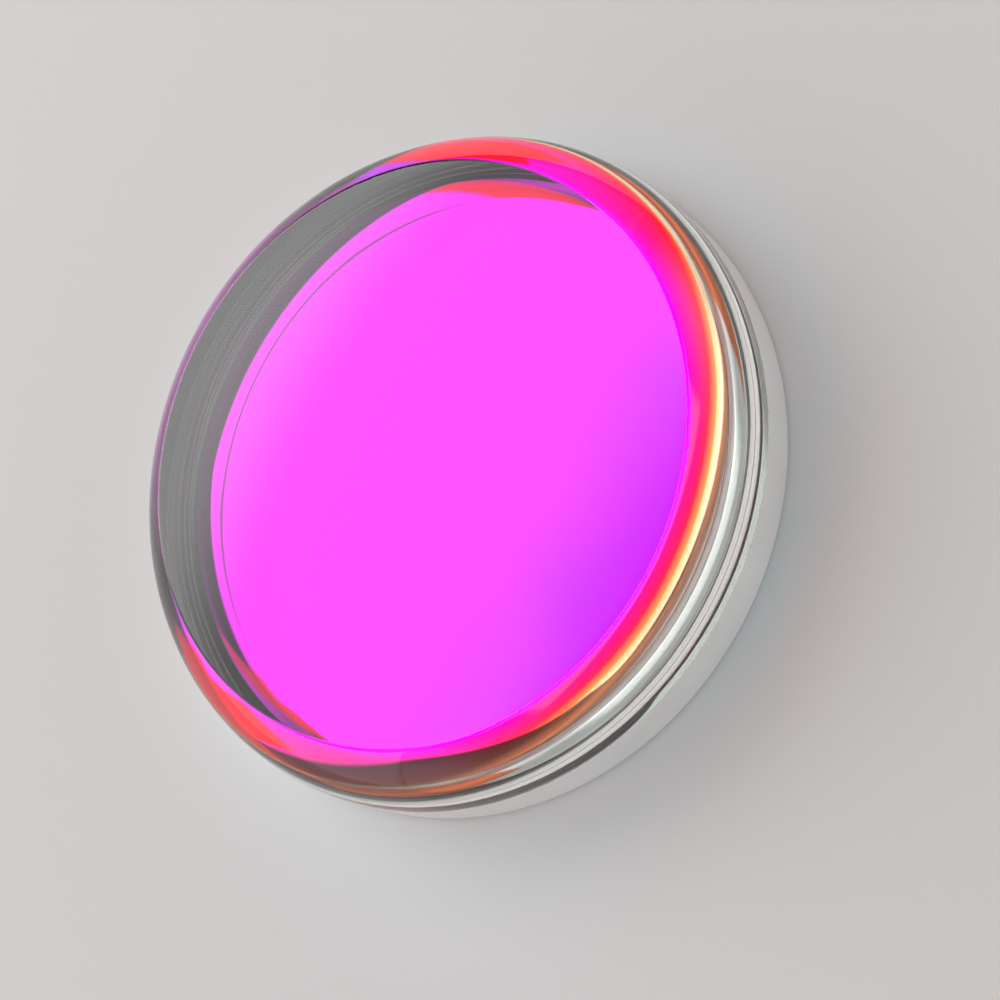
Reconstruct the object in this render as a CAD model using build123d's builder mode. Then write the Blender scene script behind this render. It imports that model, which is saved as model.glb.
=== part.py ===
from build123d import *

import os
from math import asin, cos, degrees, radians, sin

# A domed watch crystal, lying on its flat underside as it lies on a bench.
# Lengths are in millimetres. The origin is the centre of the underside, and +Z leaves through the crown.

# Driving dimensions of the crystal
crystal_diameter = 31.5
edge_height = 2.4
base_bevel = 0.1
shoulder_width = 2.2
shoulder_height = 3.4
shoulder_lean = 32.0
shoulder_lower_turn = 43.2855
crown_rise = 0.2
crown_edge_blend = 0.45

# Driving dimensions of the coating under the crystal, whose real layers are far thinner
layer_thickness = 0.02
layer_pairs = 2
bare_margin = 0.05

# Radii and heights that follow
crystal_radius = crystal_diameter / 2
base_radius = crystal_radius - base_bevel
coating_radius = base_radius - bare_margin
coating_height = 2 * layer_pairs * layer_thickness
bevel_top = coating_height + base_bevel
edge_top = coating_height + edge_height
crown_edge_radius = crystal_radius - shoulder_width
crown_edge_height = edge_top + shoulder_height
crown_top = crown_edge_height + crown_rise

# The shoulder is two tangent arcs: a tighter one that leaves the ground edge straight up, and a wider
# one that turns on from it to reach the crown's edge at the shoulder's lean. Each arc covers its own part
# of the shoulder's width and height, which gives both radii.
lower_turn = radians(shoulder_lower_turn)
whole_turn = radians(90 - shoulder_lean)
lower_width = 1 - cos(lower_turn)
lower_height = sin(lower_turn)
upper_width = cos(lower_turn) - cos(whole_turn)
upper_height = sin(whole_turn) - sin(lower_turn)
shoulder_lower_radius = (shoulder_height * upper_width - shoulder_width * upper_height) / (
    lower_height * upper_width - lower_width * upper_height
)
crown_edge = Vector(crown_edge_radius, crown_edge_height)
shoulder_join = Vector(
    crystal_radius - shoulder_lower_radius * lower_width,
    edge_top + shoulder_lower_radius * lower_height,
)

# The crown is a shallow spherical cap
crown_radius = (crown_edge_radius**2 + crown_rise**2) / (2 * crown_rise)
crown_half_angle = degrees(asin(crown_edge_radius / crown_radius))

os.makedirs("parts", exist_ok=True)


def finish(piece, name):
    """Label a finished piece and write it under its own name."""
    piece.label = name
    export_step(piece, f"parts/{name}.step")


# The crystal: half of its section turned once round the Z axis
with BuildPart() as crystal:
    with BuildSketch(Plane.XZ):
        with BuildLine():
            Polyline(
                (0, coating_height),
                (base_radius, coating_height),
                (crystal_radius, bevel_top),
                (crystal_radius, edge_top),
            )
            lower_arc = TangentArc((crystal_radius, edge_top), shoulder_join, tangent=(0, 1))
            TangentArc(shoulder_join, crown_edge, tangent=lower_arc % 1)
            CenterArc((0, crown_top - crown_radius), crown_radius, 90 - crown_half_angle, crown_half_angle)
            Line((0, crown_top), (0, coating_height))
        make_face()
    revolve(axis=Axis.Z)
    # The lapped edge between shoulder and crown is eased by a narrow polished blend
    rings = crystal.edges().filter_by(GeomType.CIRCLE).filter_by(lambda edge: edge.is_closed)
    fillet(rings.sort_by(Axis.Z)[-1], crown_edge_blend)
finish(crystal.part, "sapphire_crystal")


# The coating: pairs of layers over the whole flat face, stacked downwards from the crystal
for pair in range(layer_pairs):
    for place, kind in enumerate(("high_index", "low_index")):
        depth = (2 * pair + place + 1) * layer_thickness
        with BuildPart() as layer:
            with BuildSketch(Plane.XY.offset(coating_height - depth)):
                Circle(coating_radius)
            extrude(amount=layer_thickness)
        finish(layer.part, f"{kind}_layer_{pair + 1}")
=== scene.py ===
from math import atan2, cos, degrees, hypot, pi, radians, sin, sqrt

import bpy
from bpy.props import FloatProperty, FloatVectorProperty, IntProperty, PointerProperty
from bpy.types import Operator, Panel, PropertyGroup
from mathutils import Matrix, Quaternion, Vector


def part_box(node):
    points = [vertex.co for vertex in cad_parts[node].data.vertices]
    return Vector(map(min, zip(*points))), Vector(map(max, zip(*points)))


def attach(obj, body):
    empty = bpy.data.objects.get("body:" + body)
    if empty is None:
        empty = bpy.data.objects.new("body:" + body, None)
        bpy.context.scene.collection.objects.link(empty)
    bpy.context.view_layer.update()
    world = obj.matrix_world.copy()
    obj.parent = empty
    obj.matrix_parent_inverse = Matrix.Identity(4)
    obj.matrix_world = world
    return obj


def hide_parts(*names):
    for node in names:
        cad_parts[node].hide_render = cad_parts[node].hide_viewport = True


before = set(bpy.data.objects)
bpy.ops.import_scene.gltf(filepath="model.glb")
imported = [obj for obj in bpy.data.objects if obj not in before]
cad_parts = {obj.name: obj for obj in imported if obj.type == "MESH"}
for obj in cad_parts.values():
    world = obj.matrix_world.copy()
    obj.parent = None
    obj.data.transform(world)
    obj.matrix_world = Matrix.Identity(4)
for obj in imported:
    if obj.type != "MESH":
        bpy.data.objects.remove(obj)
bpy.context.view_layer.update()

bl_info = {
    "name": "Watch Crystal",
    "version": (1, 0, 0),
    "blender": (4, 5, 0),
    "location": "3D View > Sidebar > Crystal",
    "description": "Builds a thick domed watch crystal with a coated underside, and its studio",
    "category": "Object",
}

MM = 0.001
BODY = "root"
SAPPHIRE = "sapphire_crystal"
HIGH_LAYERS = ("high_index_layer_1", "high_index_layer_2")
LOW_LAYERS = ("low_index_layer_1", "low_index_layer_2")

FOOT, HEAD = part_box(SAPPHIRE)

# A hair between the crystal's flat face and the coating's own top face, so that the two don't coincide
HAIR = 0.003 * MM

# Steps along the section's arcs, and how far two faces turn before their edge is drawn sharp
SHOULDER_STEPS = 36
BLEND_STEPS = 14
CROWN_STEPS = 30
SHARP_TURN = radians(20)

# Length of each surface pattern's features, and how it is squeezed along X, Y and Z
HAZE = 3 * MM
HAIRLINES = 0.6 * MM
TURNING = 2.5 * MM
GRIT = 0.05 * MM
WEAR = 4 * MM
CHIPS = 0.12 * MM
FILM_CLOUD = 9 * MM
FLOOR_TOOTH = 0.4 * MM
EVEN = (1, 1, 1)
ALONG_X = (1, 14, 14)
ROUND_THE_EDGE = (1, 1, 60)

# Roughness that the haze and hairlines bring, and that of the plain finishes
HAZE_ROUGHNESS = 0.006
HAIRLINE_ROUGHNESS = 0.01
CHIP_ROUGHNESS = 0.05
SHADED_ROUGHNESS = 0.5
VEIL_ROUGHNESS = 0.6
FLOOR_ROUGHNESS = 0.85

# Facing of the ground edge between which it glows from inside, each edge as where it starts and ends
GLOWING = (0.08, 0.2), (0.60, 0.50)

# Inside angles, in degrees, over which the film's margin loses its colour, over which it sets in below
# total reflection, and over which the veil sets in
MARGIN_STRAIGHT = (10, 14)
MARGIN_TOTAL = (32.8, 31.5)
VEIL = (14, 9)

# Breadth over which the film thins out
MARGIN_BREADTH = 0.1 * MM

# Soft edges of the lamps: where each edge starts and ends, in degrees of height, heading or lean. A band has
# two such edges. The pane's foot, the curtain's edge and the far right's edge are measured from a line that
# moves with heading or height. The fill's ends are a sideways share. Left is the +X side.
PANE_FOOT = (-4, 0)
PANE_FOOT_CLIMB = 34
PANE_FOOT_HEADINGS = (3, 24)
RAIL_HEIGHTS = (62, 68), (76, 73)
RAIL_ENDS = (45, 30)
RAIL_LOSS = 0.7
CURTAIN_FAR, CURTAIN_NEAR = 51, 39
CURTAIN_NEAR_HEIGHTS = (34, 37), (51, 49)
CURTAIN_EDGE = (-1, 2)
CURTAIN_END = (80, 76)
CURTAIN_HEIGHTS = (58, 54), (3, 8)
CURTAIN_SHARE = 0.75
GLOW_ENDS = (30, 18)
GLOW_TOP = (52.5, 47.5)
FAR_RIGHT_LOW, FAR_RIGHT_HIGH = -45, -40
FAR_RIGHT_STEP = (45.5, 48)
FAR_RIGHT_EDGE = (2, -2)
FAR_RIGHT_HEIGHTS = (61, 58), (34, 38)
FILL_LEANS = (-19, -23), (-41, -37)
FILL_ENDS = (0.7, 0.6)
CEILING_LEANS = (-5, -7), (-17, -15)
CEILING_HEADINGS = (98, 106)

# The room's pale band at eye level, in degrees, and the two parts of it that are dimmer
ROOM_HEIGHTS = (45, 12)
ROOM_LEFT = (3, 16), (110, 80)
ROOM_LEFT_LOSS = 0.88
ROOM_RIGHT = (-95, -115), (-170, -150)
ROOM_RIGHT_LOSS = 0.5

# Stage sizes
FLOOR_STEPS = 128
FLOOR_RADIUS = 3.0
FLOOR_DROP = 0.005 * MM
LAMP_SEGMENTS = 96
LAMP_RINGS = 48
LAMP_FOOT = -0.1
SENSOR_WIDTH = 36
NEAREST_SEEN = 1 * MM
LIGHT_BOUNCES = 24


# Sizes and colours that a user would change

class CrystalShape(PropertyGroup):
    """Section of the crystal, from its flat face up to its crown."""
    diameter: FloatProperty(
        name="Diameter", description="Across the ground edge", default=HEAD.x - FOOT.x, unit="LENGTH")
    foot: FloatProperty(
        name="Foot", description="Height of the flat face, a hair above the coating's own top face",
        default=FOOT.z + HAIR, unit="LENGTH")
    bevel: FloatProperty(
        name="Base bevel", description="Width of the bevel under the ground edge",
        default=0.1 * MM, unit="LENGTH")
    edge: FloatProperty(
        name="Ground edge", description="From the flat face to the top of the ground edge",
        default=2.4 * MM - HAIR, unit="LENGTH")
    shoulder_width: FloatProperty(
        name="Shoulder width", description="From the crown's edge out to the ground edge",
        default=2.2 * MM, unit="LENGTH")
    shoulder_height: FloatProperty(
        name="Shoulder height", description="From the ground edge up to the crown's edge",
        default=3.4 * MM, unit="LENGTH")
    shoulder_radius: FloatProperty(
        name="Lower shoulder radius", description="Radius of the tighter arc, next to the ground edge",
        default=3.45 * MM, unit="LENGTH")
    lean: FloatProperty(
        name="Shoulder lean", description="Slope of the shoulder where it meets the crown",
        default=radians(32), subtype="ANGLE")
    rise: FloatProperty(
        name="Crown rise", description="How far the crown bulges", default=0.2 * MM, unit="LENGTH")
    blend: FloatProperty(
        name="Crown edge blend", description="Radius that eases the crown's edge",
        default=0.45 * MM, unit="LENGTH")
    segments: IntProperty(name="Segments", description="Steps round the crystal", default=384, min=32)


class SapphireLook(PropertyGroup):
    """Finish of the clear and the ground faces."""
    index: FloatProperty(name="Index", description="Refractive index of sapphire", default=1.768)
    ground: FloatVectorProperty(
        name="Ground colour", description="Colour of the fine-ground edge", subtype="COLOR", size=3,
        default=(0.93, 0.93, 0.92))
    ground_shade: FloatProperty(
        name="Ground shade", description="Brightness of the edge's darker parts, as a share of the rest",
        default=0.88)
    ground_roughness: FloatProperty(
        name="Ground roughness", description="Mean roughness of the fine-ground edge", default=0.55)
    ground_clearness: FloatProperty(
        name="Ground clearness", description="Share of light that the ground edge lets through", default=0.8)
    # painted shade: near-black colour of the ground edge seen from inside, where it doesn't glow
    ground_painted_shade: FloatVectorProperty(
        name="Ground dim", description="Colour of the ground edge from inside, where it doesn't glow",
        subtype="COLOR", size=3, default=(0.05, 0.05, 0.05))
    chip_depth: FloatProperty(
        name="Chip depth", description="How far the deepest chips reach down the ground edge",
        default=0.14 * MM, unit="LENGTH")


def colour(name, what, value):
    """A colour property with its description."""
    return FloatVectorProperty(name=name, description=what, subtype="COLOR", size=3, default=value)


class CoatingLook(PropertyGroup):
    """Reflection of the coating at rising angles inside the sapphire."""
    straight: colour("Straight on", "Reflection up to 8 degrees", (0.80, 0.001, 0.62))
    violet: colour("Violet", "Reflection at 14 to 16.4 degrees", (0.66, 0.001, 1.0))
    magenta: colour("Magenta", "Reflection at 17.8 to 20 degrees", (1.0, 0.001, 0.98))
    pink: colour("Pink", "Reflection at 25 degrees", (1.0, 0.001, 0.60))
    rose: colour("Rose", "Reflection at 29 degrees", (1.0, 0.001, 0.25))
    red: colour("Red", "Reflection at 32 degrees", (1.0, 0.010, 0.04))
    orange: colour("Orange", "Reflection at 33.1 degrees", (1.0, 0.16, 0.05))
    amber: colour("Amber", "Reflection at 33.6 degrees", (1.0, 0.60, 0.33))
    cream: colour("Cream", "Reflection at 34.1 to 36.2 degrees, round the critical angle", (1.0, 0.97, 0.86))
    brown: colour("Brown", "Reflection at 36.7 to 37.1 degrees", (0.58, 0.42, 0.42))
    grey: colour("Grey", "Reflection at 39.8 to 43.2 degrees", (0.685, 0.70, 0.685))
    shallow: colour("Shallow", "Reflection at 55 degrees and more", (0.46, 0.48, 0.46))
    clear: colour("Clear", "Reflection at 38 to 38.8 and at 46 to 51 degrees", (0.95, 0.96, 0.95))
    margin: colour("Margin", "Reflection where the film thins out near its rim", (0.10, 0.10, 0.10))
    margin_straight: colour(
        "Margin straight on", "Reflection of the thinned film up to 10 degrees", (0.66, 0.001, 0.64))
    veil: colour("Veil", "Colour that the film scatters when seen straight on", (0.95, 0.001, 0.85))
    veil_share: FloatProperty(
        name="Veil share", description="Share of light that the film scatters straight on", default=0.45)
    unevenness: FloatProperty(
        name="Unevenness", description="How far the film's colours wander with its thickness", default=0.008)
    margin_radius: FloatProperty(
        name="Margin radius", description="Radius of the round area where the film has its full thickness",
        default=14.1 * MM, unit="LENGTH")
    margin_centre: FloatVectorProperty(
        name="Margin centre", description="Centre of that area, which lies a little off the crystal's axis",
        size=2, default=(0.14 * MM, -0.99 * MM), unit="LENGTH")


class StudioSetup(PropertyGroup):
    """Floor, lights and camera."""
    floor: colour("Floor", "Colour of the floor", (0.83, 0.885, 0.90))
    window: FloatProperty(
        name="Window", description="Radiance of the large soft window beyond the crystal", default=1.08)
    glow: FloatProperty(
        name="Glow", description="Extra radiance of the middle of the window, below the disc's reflection",
        default=1.6)
    window_top: FloatProperty(
        name="Window top", description="Angle of the window's upper edge from the zenith",
        default=radians(6), subtype="ANGLE")
    window_left: FloatProperty(
        name="Window left", description="Heading of the window's edge on the +X side",
        default=radians(57), subtype="ANGLE")
    window_right: FloatProperty(
        name="Window right", description="Heading of the window's edge on the -X side",
        default=radians(-90), subtype="ANGLE")
    lamp_distance: FloatProperty(
        name="Lamp distance", description="From the crystal to its lamps", default=0.6, unit="LENGTH")
    warmth: colour("Warmth", "Tint of the window's two ends", (1.0, 0.20, 0.04))
    fill: FloatProperty(name="Fill", description="Radiance of the small fill over the camera", default=0.9)
    ceiling: FloatProperty(
        name="Ceiling", description="Radiance of the strip just on the camera's side of the zenith",
        default=0.7)
    zenith: FloatProperty(name="Zenith", description="Brightness of the room overhead", default=0.02)
    horizon: FloatProperty(name="Horizon", description="Brightness of the room all round", default=0.95)
    camera_distance: FloatProperty(
        name="Camera distance", description="From the flat face's centre",
        default=108.913 * MM, unit="LENGTH")
    camera_elevation: FloatProperty(
        name="Camera elevation", description="Above the floor", default=radians(57.315), subtype="ANGLE")
    camera_roll: FloatProperty(
        name="Camera roll", description="Turn about the line of sight",
        default=radians(-63.01), subtype="ANGLE")
    camera_aim: FloatVectorProperty(
        name="Camera aim", description="Point on the flat face that the camera looks at", size=2,
        default=(-0.222 * MM, -1.935 * MM), unit="LENGTH")
    lens: FloatProperty(name="Lens", description="Focal length in millimetres", default=84.31)


# Shader expressions

class Value:
    """A node socket in a shader expression. Operators add Math nodes, and node() adds any other node."""

    def __init__(self, tree, socket=None):
        self.tree = tree
        self.socket = socket

    def node(self, kind, settings=None, links=None, out=0):
        """Add one node. Its settings come first, then each input gets a value or a link."""
        made = self.tree.nodes.new(kind)
        for name, setting in (settings or {}).items():
            setattr(made, name, setting)
        for place, what in (links or {}).items():
            if isinstance(what, Value):
                self.tree.links.new(what.socket, made.inputs[place])
            else:
                made.inputs[place].default_value = what
        return Value(self.tree, made.outputs[out] if made.outputs else None)

    def math(self, operation, first, second):
        return self.node("ShaderNodeMath", {"operation": operation}, {0: first, 1: second})

    def __add__(self, other):
        return self.math("ADD", self, other)

    __radd__ = __add__

    def __sub__(self, other):
        return self.math("SUBTRACT", self, other)

    def __rsub__(self, other):
        return self.math("SUBTRACT", other, self)

    def __mul__(self, other):
        return self.math("MULTIPLY", self, other)

    __rmul__ = __mul__

    def __gt__(self, other):
        return self.math("GREATER_THAN", self, other)

    def __abs__(self):
        return self.math("ABSOLUTE", self, 0)

    def over(self, other):
        """The larger of the two."""
        return self.math("MAXIMUM", self, other)

    def rising(self, low, high):
        """0 on low's side, 1 on high's side, straight between. High may be the smaller."""
        return self.node(
            "ShaderNodeMapRange", {"clamp": True}, {"Value": self, "From Min": low, "From Max": high})

    def eased(self, low, high):
        """0 on low's side, 1 on high's side, eased between. High may be the smaller."""
        return self.node(
            "ShaderNodeMapRange", {"interpolation_type": "SMOOTHSTEP"},
            {"Value": self, "From Min": low, "From Max": high})

    def band(self, first_edge, second_edge):
        """1 between two soft edges, each given as where it starts and ends."""
        return self.eased(*first_edge) * self.eased(*second_edge)

    def parts(self):
        """The x, y and z of a place or direction."""
        first = self.node("ShaderNodeSeparateXYZ", None, {0: self})
        return [Value(self.tree, part) for part in first.socket.node.outputs]


def finish_named(name):
    """A new material with an empty tree, and an expression to start from."""
    material = bpy.data.materials.new(name)
    material.use_nodes = True
    material.node_tree.nodes.clear()
    return material, Value(material.node_tree)


def surface(material, shader):
    """Join the finished shader to the material's output."""
    shader.node("ShaderNodeOutputMaterial", None, {"Surface": shader})
    return material


def rgba(opaque):
    """A colour with full alpha, as colour sockets take it."""
    return (*opaque, 1)


def clear_sapphire(start, look, roughness):
    """Sapphire that lets all light through."""
    return start.node("ShaderNodeBsdfPrincipled", None, {
        "Base Color": (1, 1, 1, 1), "Transmission Weight": 1.0, "IOR": look.index, "Roughness": roughness})


def place_of(start):
    """Object coordinates."""
    return start.node("ShaderNodeTexCoord", out="Object")


def grain(start, place, stretch, size, detail=3.0, roughness=0.5):
    """Noise whose features are about size long, squeezed or drawn out along each axis by stretch."""
    mapped = start.node("ShaderNodeMapping", None, {"Vector": place, "Scale": stretch})
    return start.node(
        "ShaderNodeTexNoise", None,
        {"Vector": mapped, "Scale": 1 / size, "Detail": detail, "Roughness": roughness})


# Materials

def polished_sapphire(look):
    """Clear sapphire with the faintest polishing haze."""
    material, start = finish_named("polished_sapphire")
    place = place_of(start)
    haze = grain(start, place, EVEN, HAZE).eased(0.62, 0.8)
    hairlines = grain(start, place, ALONG_X, HAIRLINES).eased(0.66, 0.74)
    roughness = haze * HAZE_ROUGHNESS + hairlines * HAIRLINE_ROUGHNESS
    return surface(material, clear_sapphire(start, look, roughness))


def ground_sapphire(look, shape):
    """Fine-ground edge: turning marks round it, painted shade on its inside where it isn't met steeply, and
    small chips where the polish begins.
    """
    material, start = finish_named("ground_sapphire")
    place = place_of(start)
    turning = grain(start, place, ROUND_THE_EDGE, TURNING, 4.0)
    grit = grain(start, place, EVEN, GRIT, 2.0)
    cloud = grain(start, place, EVEN, WEAR, 2.0)
    worn = turning * 0.5 + cloud * 0.5
    base = start.node("ShaderNodeMix", {"data_type": "RGBA"}, {
        0: worn.rising(0.3, 0.7),
        6: rgba(tuple(channel * look.ground_shade for channel in look.ground)),
        7: rgba(look.ground),
    }, out=2)
    bump = start.node("ShaderNodeBump", None, {
        "Strength": 0.25, "Distance": 0.01 * MM, "Height": grit * 0.7 + turning * 0.3})
    frosted = start.node("ShaderNodeBsdfPrincipled", None, {
        "Base Color": base,
        "IOR": look.index,
        "Roughness": worn * 0.2 + (look.ground_roughness - 0.1),
        "Normal": bump,
    })

    # from inside, the ground edge glows where it is met steeply, and has painted shade elsewhere
    glowing = start.node("ShaderNodeBsdfTranslucent", None, {"Color": base, "Normal": bump})
    inside = start.node("ShaderNodeNewGeometry", out="Backfacing")
    facing = start.node("ShaderNodeLayerWeight", None, {"Blend": 0.5}, "Facing")
    steep = facing.band(*GLOWING)
    frosted = start.node("ShaderNodeMixShader", None, {
        0: inside * steep * look.ground_clearness, 1: frosted, 2: glowing})
    # painted shade: a near-black copy of the ground finish, used from inside
    inner_painted_shade = start.node("ShaderNodeBsdfPrincipled", None, {
        "Base Color": rgba(look.ground_painted_shade), "Roughness": SHADED_ROUGHNESS})
    frosted = start.node("ShaderNodeMixShader", None, {0: inside * (1 - steep), 1: frosted, 2: inner_painted_shade})

    # chips reach down from the polish
    chips = grain(start, place, EVEN, CHIPS, 2.0, 0.7)
    depth = (shape.foot + shape.edge) - place.parts()[2]
    chipped = (chips.rising(0.45, 0.75) * look.chip_depth) > depth
    return surface(material, start.node("ShaderNodeMixShader", None, {
        0: chipped, 1: frosted, 2: clear_sapphire(start, look, CHIP_ROUGHNESS)}))


def coating_stops(look):
    """Angles inside the sapphire, with the coating's reflection at each."""
    return [
        (8, look.straight), (14, look.violet), (16.4, look.violet), (17.8, look.magenta), (20, look.magenta),
        (25, look.pink), (29, look.rose), (32, look.red), (33.1, look.orange), (33.6, look.amber),
        (34.1, look.cream), (36.2, look.cream), (36.7, look.brown), (37.1, look.brown), (38, look.clear),
        (38.8, look.clear), (39.8, look.grey), (43.2, look.grey), (46, look.clear), (51, look.clear),
        (55, look.shallow),
    ]


def coating(look, name, index, seen_from):
    """Mirror whose colour climbs through the coating's reflections as the view grows shallower.

    The angles are those inside sapphire of the given index, and seen_from is the index of what the film is
    seen through.
    """
    material, start = finish_named(name)
    place = place_of(start)
    cloud = grain(start, place, EVEN, FILM_CLOUD, 1.0)
    facing = start.node("ShaderNodeLayerWeight", None, {"Blend": 0.5}, "Facing")
    facing = facing + (cloud - 0.5) * look.unevenness

    def mirror(reflection):
        return start.node("ShaderNodeBsdfPrincipled", None, {
            "Base Color": rgba(reflection), "Metallic": 1.0, "Roughness": 0.0})

    def shallowness(angle):
        """What Facing reads where light inside the sapphire meets the film at this angle."""
        leaving = min(1.0, sin(radians(angle)) * index / seen_from)
        return 1 - sqrt(1 - leaving ** 2)

    def between(angles):
        return facing.rising(*[shallowness(angle) for angle in angles])

    stops = [(shallowness(angle), reflection) for angle, reflection in coating_stops(look)]
    shader = mirror(stops[0][1])
    for (before, _), (after, reflection) in zip(stops, stops[1:]):
        if after > before:
            shader = start.node("ShaderNodeMixShader", None, {
                0: facing.rising(before, after), 1: shader, 2: mirror(reflection)})

    # outside an area that lies a little off the axis the film is thin, and reflects little of what it
    # doesn't reflect totally
    x, y, _ = place.parts()
    across, along = x - look.margin_centre[0], y - look.margin_centre[1]
    radius = start.math("SQRT", across * across + along * along, 0)
    thinned = radius.rising(look.margin_radius - MARGIN_BREADTH, look.margin_radius)
    margin = start.node("ShaderNodeMixShader", None, {
        0: between(MARGIN_STRAIGHT), 1: mirror(look.margin_straight), 2: mirror(look.margin)})
    shader = start.node("ShaderNodeMixShader", None, {
        0: thinned * between(MARGIN_TOTAL), 1: shader, 2: margin})

    # straight on, it scatters a little of its own colour
    veil = start.node("ShaderNodeBsdfPrincipled", None, {
        "Base Color": rgba(look.veil), "Roughness": VEIL_ROUGHNESS, "Specular IOR Level": 0.0})
    shader = start.node("ShaderNodeMixShader", None, {
        0: between(VEIL) * look.veil_share, 1: shader, 2: veil})
    return surface(material, shader)


def headings(start, place):
    """Sideways share, and height, heading and lean in degrees, of a place or direction round the crystal.

    Height is measured from the floor up. Heading is 0 straight beyond the crystal as the camera sees it and
    grows towards +X. Lean is measured from the zenith towards the side beyond the crystal.
    """
    x, y, z = start.node("ShaderNodeVectorMath", {"operation": "NORMALIZE"}, {0: place}).parts()
    height = start.math("ARCSINE", z, 0) * degrees(1)
    heading = start.math("ARCTAN2", x, y) * degrees(1)
    lean = start.math("ARCTAN2", y, z) * degrees(1)
    return x, height, heading, lean


def light_room(start, setup):
    """The room behind the lamps: dark overhead and pale at eye level, less so on both sides."""
    _, height, heading, _ = headings(start, start.node("ShaderNodeTexCoord", out="Generated"))
    pale = height.eased(*ROOM_HEIGHTS) * (1 - heading.band(*ROOM_LEFT) * ROOM_LEFT_LOSS)
    pale = pale * (1 - heading.band(*ROOM_RIGHT) * ROOM_RIGHT_LOSS)
    start.node("ShaderNodeOutputWorld", None, {"Surface": start.node("ShaderNodeBackground", None, {
        "Color": (1, 1, 1, 1),
        "Strength": pale * (setup.horizon - setup.zenith) + setup.zenith,
    })})


def lamp_face(setup):
    """Soft-edged light of the window beyond the crystal, the fill over the camera and the strip overhead."""
    material, start = finish_named("lamp_face")
    x, height, heading, lean = headings(start, place_of(start))
    top, left, right = degrees(setup.window_top), degrees(setup.window_left), degrees(setup.window_right)

    # the window, whose foot climbs on the left
    pane = lean.eased(top - 1, top + 1) * heading.band((left + 3, left - 3), (right - 4, right + 4))
    foot = heading.eased(*PANE_FOOT_HEADINGS) * PANE_FOOT_CLIMB
    pane = pane * (height - foot).eased(*PANE_FOOT)
    rail = height.band(*RAIL_HEIGHTS) * abs(heading).eased(*RAIL_ENDS)
    glow = abs(heading).eased(*GLOW_ENDS) * height.eased(*GLOW_TOP)

    # its warm ends: a curtain beside it, and its own far end
    curtain_edge = height.band(*CURTAIN_NEAR_HEIGHTS) * (CURTAIN_NEAR - CURTAIN_FAR) + CURTAIN_FAR
    curtain = (heading - curtain_edge).eased(*CURTAIN_EDGE) * heading.eased(*CURTAIN_END)
    curtain = curtain * height.band(*CURTAIN_HEIGHTS)
    far_edge = height.eased(*FAR_RIGHT_STEP) * (FAR_RIGHT_HIGH - FAR_RIGHT_LOW) + FAR_RIGHT_LOW
    far_right = (heading - far_edge).eased(*FAR_RIGHT_EDGE) * height.band(*FAR_RIGHT_HEIGHTS)
    tint = start.node("ShaderNodeMix", {"data_type": "RGBA"}, {
        0: curtain.over(far_right * pane),
        6: (1, 1, 1, 1),
        7: rgba(setup.warmth),
    }, out=2)

    fill = lean.band(*FILL_LEANS) * abs(x).eased(*FILL_ENDS)
    ceiling = lean.band(*CEILING_LEANS) * abs(heading).eased(*CEILING_HEADINGS)
    lit = pane.over(curtain * CURTAIN_SHARE)
    window = lit * (glow * setup.glow + setup.window) * (1 - rail * RAIL_LOSS)
    bright = start.node("ShaderNodeEmission", None, {
        "Color": tint, "Strength": window + fill * setup.fill + ceiling * setup.ceiling})
    return surface(material, start.node("ShaderNodeMixShader", None, {
        0: lit.over(fill).over(ceiling), 1: start.node("ShaderNodeBsdfTransparent"), 2: bright}))


# Modelling helpers

def deselect_all():
    """Leave edit mode and select nothing, as an operator would otherwise act on what is selected."""
    if bpy.context.object and bpy.context.object.mode != "OBJECT":
        bpy.ops.object.mode_set(mode="OBJECT")
    bpy.ops.object.select_all(action="DESELECT")


def arc(centre, radius, start, end, steps):
    """Points (radius, height) along an arc of the section, from the step after its start to its end."""
    turns = [start + (end - start) * step / steps for step in range(1, steps + 1)]
    return [(centre[0] + radius * cos(turn), centre[1] + radius * sin(turn)) for turn in turns]


def crystal_section(shape):
    """Points (radius, height) from the bevel's top up to the crown, and the height of the crown's top."""
    rim = shape.diameter / 2
    edge_top = shape.foot + shape.edge
    corner = (rim - shape.shoulder_width, edge_top + shape.shoulder_height)
    top = corner[1] + shape.rise

    # two tangent arcs make the shoulder
    lower = (rim - shape.shoulder_radius, edge_top)
    inwards = (-sin(shape.lean), -cos(shape.lean))
    reach = (corner[0] - lower[0], corner[1] - lower[1])
    upper_radius = (shape.shoulder_radius ** 2 - reach[0] ** 2 - reach[1] ** 2) / (
        2 * (reach[0] * inwards[0] + reach[1] * inwards[1] + shape.shoulder_radius))
    upper = (corner[0] + inwards[0] * upper_radius, corner[1] + inwards[1] * upper_radius)
    join = atan2(lower[1] - upper[1], lower[0] - upper[0])

    # the crown is a shallow cap, and a small arc inside both eases its edge
    cap_radius = (corner[0] ** 2 + shape.rise ** 2) / (2 * shape.rise)
    cap = (0.0, top - cap_radius)
    span = hypot(upper[0] - cap[0], upper[1] - cap[1])
    far, near = cap_radius - shape.blend, upper_radius - shape.blend
    along = (span ** 2 + far ** 2 - near ** 2) / (2 * span)
    across = sqrt(far ** 2 - along ** 2)
    line = ((upper[0] - cap[0]) / span, (upper[1] - cap[1]) / span)
    eased = (cap[0] + line[0] * along + line[1] * across, cap[1] + line[1] * along - line[0] * across)
    leaves = atan2(eased[1] - upper[1], eased[0] - upper[0])
    meets = atan2(eased[1] - cap[1], eased[0] - cap[0])

    points = [(rim, shape.foot + shape.bevel), (rim, edge_top)]
    points += arc(lower, shape.shoulder_radius, 0, join, SHOULDER_STEPS)
    points += arc(upper, upper_radius, join, leaves, SHOULDER_STEPS)
    points += arc(eased, shape.blend, leaves, meets, BLEND_STEPS)
    points += arc(cap, cap_radius, meets, pi / 2, CROWN_STEPS)[:-1]
    return points, top


# Operators

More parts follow.
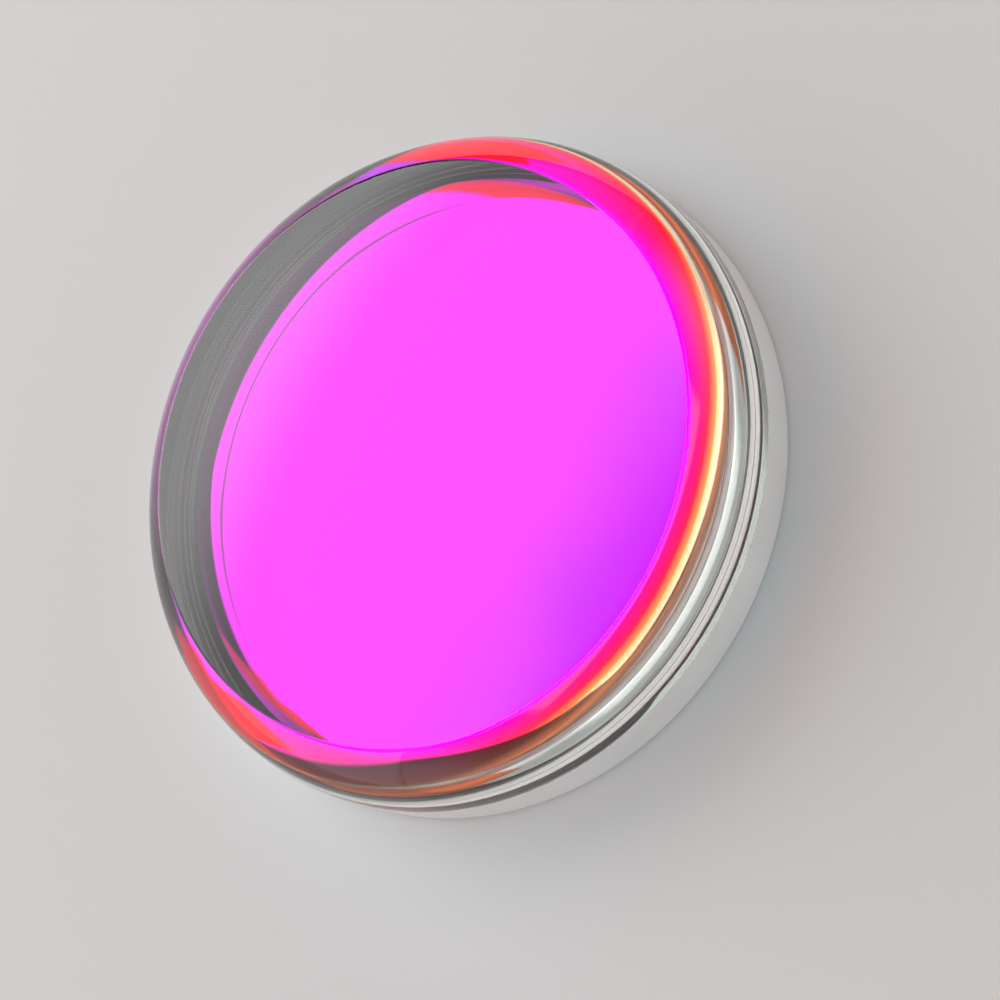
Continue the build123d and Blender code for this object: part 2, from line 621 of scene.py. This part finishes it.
class CRYSTAL_OT_sapphire(Operator):
    """Turn the sapphire body from its section, ring by ring"""
    bl_idname = "crystal.sapphire"
    bl_label = "Sapphire body"

    def execute(self, context):
        shape = context.scene.crystal_shape
        look = context.scene.sapphire_look
        points, top = crystal_section(shape)
        radius, height = shape.diameter / 2 - shape.bevel, shape.foot
        deselect_all()
        bpy.ops.mesh.primitive_circle_add(
            vertices=shape.segments, radius=radius, fill_type="TRIFAN", location=(0, 0, height))
        body = context.object
        body.name = body.data.name = "crystal_body"
        bpy.ops.object.transform_apply(location=True, rotation=True, scale=True)
        bpy.ops.object.mode_set(mode="EDIT")
        bpy.ops.mesh.select_mode(type="EDGE")
        bpy.ops.mesh.select_all(action="DESELECT")
        bpy.ops.mesh.select_non_manifold()
        for out, up in points:
            bpy.ops.mesh.extrude_region_move(TRANSFORM_OT_translate={"value": (0, 0, up - height)})
            bpy.ops.transform.resize(value=(out / radius, out / radius, 1), center_override=(0, 0, up))
            radius, height = out, up
        bpy.ops.mesh.extrude_region_move(TRANSFORM_OT_translate={"value": (0, 0, top - height)})
        bpy.ops.mesh.merge(type="CENTER")
        bpy.ops.mesh.select_all(action="SELECT")
        bpy.ops.mesh.normals_make_consistent(inside=False)
        bpy.ops.object.mode_set(mode="OBJECT")
        bpy.ops.object.shade_smooth_by_angle(angle=SHARP_TURN)

        film = context.scene.coating_look
        for finish in (
            polished_sapphire(look),
            ground_sapphire(look, shape),
            coating(film, "coated_face", look.index, look.index),
        ):
            body.data.materials.append(finish)
        polished, ground, coated = range(3)
        for face in body.data.polygons:
            if face.center.z < shape.foot + shape.bevel / 100:
                face.material_index = coated
            elif face.center.z < shape.foot + shape.edge:
                face.material_index = ground
            else:
                face.material_index = polished
        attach(body, BODY)
        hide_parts(SAPPHIRE)
        return {"FINISHED"}


class CRYSTAL_OT_coating(Operator):
    """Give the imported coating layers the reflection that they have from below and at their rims"""
    bl_idname = "crystal.coating"
    bl_label = "Coating layers"

    def execute(self, context):
        look = context.scene.coating_look
        index = context.scene.sapphire_look.index
        for names, finish in (
            (HIGH_LAYERS, coating(look, "high_index_film", index, 1.0)),
            (LOW_LAYERS, coating(look, "low_index_film", index, 1.0)),
        ):
            for name in names:
                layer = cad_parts[name]
                layer.data.materials.clear()
                layer.data.materials.append(finish)
        return {"FINISHED"}


class CRYSTAL_OT_studio(Operator):
    """Lay the floor and set the lights, the room and the camera"""
    bl_idname = "crystal.studio"
    bl_label = "Studio"

    def execute(self, context):
        scene = context.scene
        setup = scene.studio_setup
        foot = scene.crystal_shape.foot

        deselect_all()
        bpy.ops.mesh.primitive_circle_add(
            vertices=FLOOR_STEPS, radius=FLOOR_RADIUS, fill_type="NGON", location=(0, 0, -FLOOR_DROP))
        floor = context.object
        floor.name = "floor"
        bpy.ops.object.transform_apply(location=True, rotation=True, scale=True)
        material, start = finish_named("pale_floor")
        tooth = grain(start, place_of(start), EVEN, FLOOR_TOOTH)
        floor.data.materials.append(surface(material, start.node("ShaderNodeBsdfPrincipled", None, {
            "Base Color": rgba(setup.floor),
            "Roughness": FLOOR_ROUGHNESS,
            "Normal": start.node("ShaderNodeBump", None, {
                "Strength": 0.05, "Distance": 0.02 * MM, "Height": tooth}),
        })))

        deselect_all()
        bpy.ops.mesh.primitive_uv_sphere_add(
            segments=LAMP_SEGMENTS, ring_count=LAMP_RINGS, radius=setup.lamp_distance)
        lamp = context.object
        lamp.name = "lamp"
        bpy.ops.object.mode_set(mode="EDIT")
        bpy.ops.mesh.select_all(action="SELECT")
        bpy.ops.mesh.bisect(
            plane_co=(0, 0, LAMP_FOOT * setup.lamp_distance), plane_no=(0, 0, 1), clear_inner=True)
        bpy.ops.object.mode_set(mode="OBJECT")
        lamp.data.materials.append(lamp_face(setup))
        lamp.visible_camera = False
        lamp.visible_shadow = False

        world = bpy.data.worlds.new("room")
        scene.world = world
        world.use_nodes = True
        world.node_tree.nodes.clear()
        light_room(Value(world.node_tree), setup)

        elevation = setup.camera_elevation
        camera_data = bpy.data.cameras.new("camera")
        camera = bpy.data.objects.new("camera", camera_data)
        scene.collection.objects.link(camera)
        scene.camera = camera
        camera.location = (
            0, -setup.camera_distance * cos(elevation), setup.camera_distance * sin(elevation) + foot)
        sight = Vector((*setup.camera_aim, foot)) - camera.location
        camera.rotation_mode = "QUATERNION"
        roll = Quaternion((0, 0, 1), setup.camera_roll)
        camera.rotation_quaternion = sight.to_track_quat("-Z", "Y") @ roll
        camera_data.lens = setup.lens
        camera_data.sensor_width = SENSOR_WIDTH
        camera_data.clip_start = NEAREST_SEEN

        scene.view_settings.view_transform = "Standard"
        scene.cycles.max_bounces = LIGHT_BOUNCES
        scene.cycles.transmission_bounces = LIGHT_BOUNCES
        scene.cycles.glossy_bounces = LIGHT_BOUNCES
        return {"FINISHED"}


class CRYSTAL_PT_sidebar(Panel):
    """Steps and settings of the watch crystal"""
    bl_idname = "CRYSTAL_PT_sidebar"
    bl_label = "Watch Crystal"
    bl_space_type = "VIEW_3D"
    bl_region_type = "UI"
    bl_category = "Crystal"

    def draw(self, context):
        for operator in OPERATORS:
            self.layout.operator(operator.bl_idname)
        for name in GROUPS:
            group = getattr(context.scene, name)
            box = self.layout.box()
            for key in group.__annotations__:
                box.prop(group, key)


OPERATORS = (CRYSTAL_OT_sapphire, CRYSTAL_OT_coating, CRYSTAL_OT_studio)
GROUPS = {
    "crystal_shape": CrystalShape,
    "sapphire_look": SapphireLook,
    "coating_look": CoatingLook,
    "studio_setup": StudioSetup,
}


def register():
    for made in (*GROUPS.values(), *OPERATORS, CRYSTAL_PT_sidebar):
        bpy.utils.register_class(made)
    for name, group in GROUPS.items():
        setattr(bpy.types.Scene, name, PointerProperty(type=group))


def unregister():
    for name in GROUPS:
        delattr(bpy.types.Scene, name)
    for made in reversed((*GROUPS.values(), *OPERATORS, CRYSTAL_PT_sidebar)):
        bpy.utils.unregister_class(made)


def main():
    register()
    bpy.ops.crystal.sapphire()
    bpy.ops.crystal.coating()
    bpy.ops.crystal.studio()


if __name__ == "__main__":
    main()
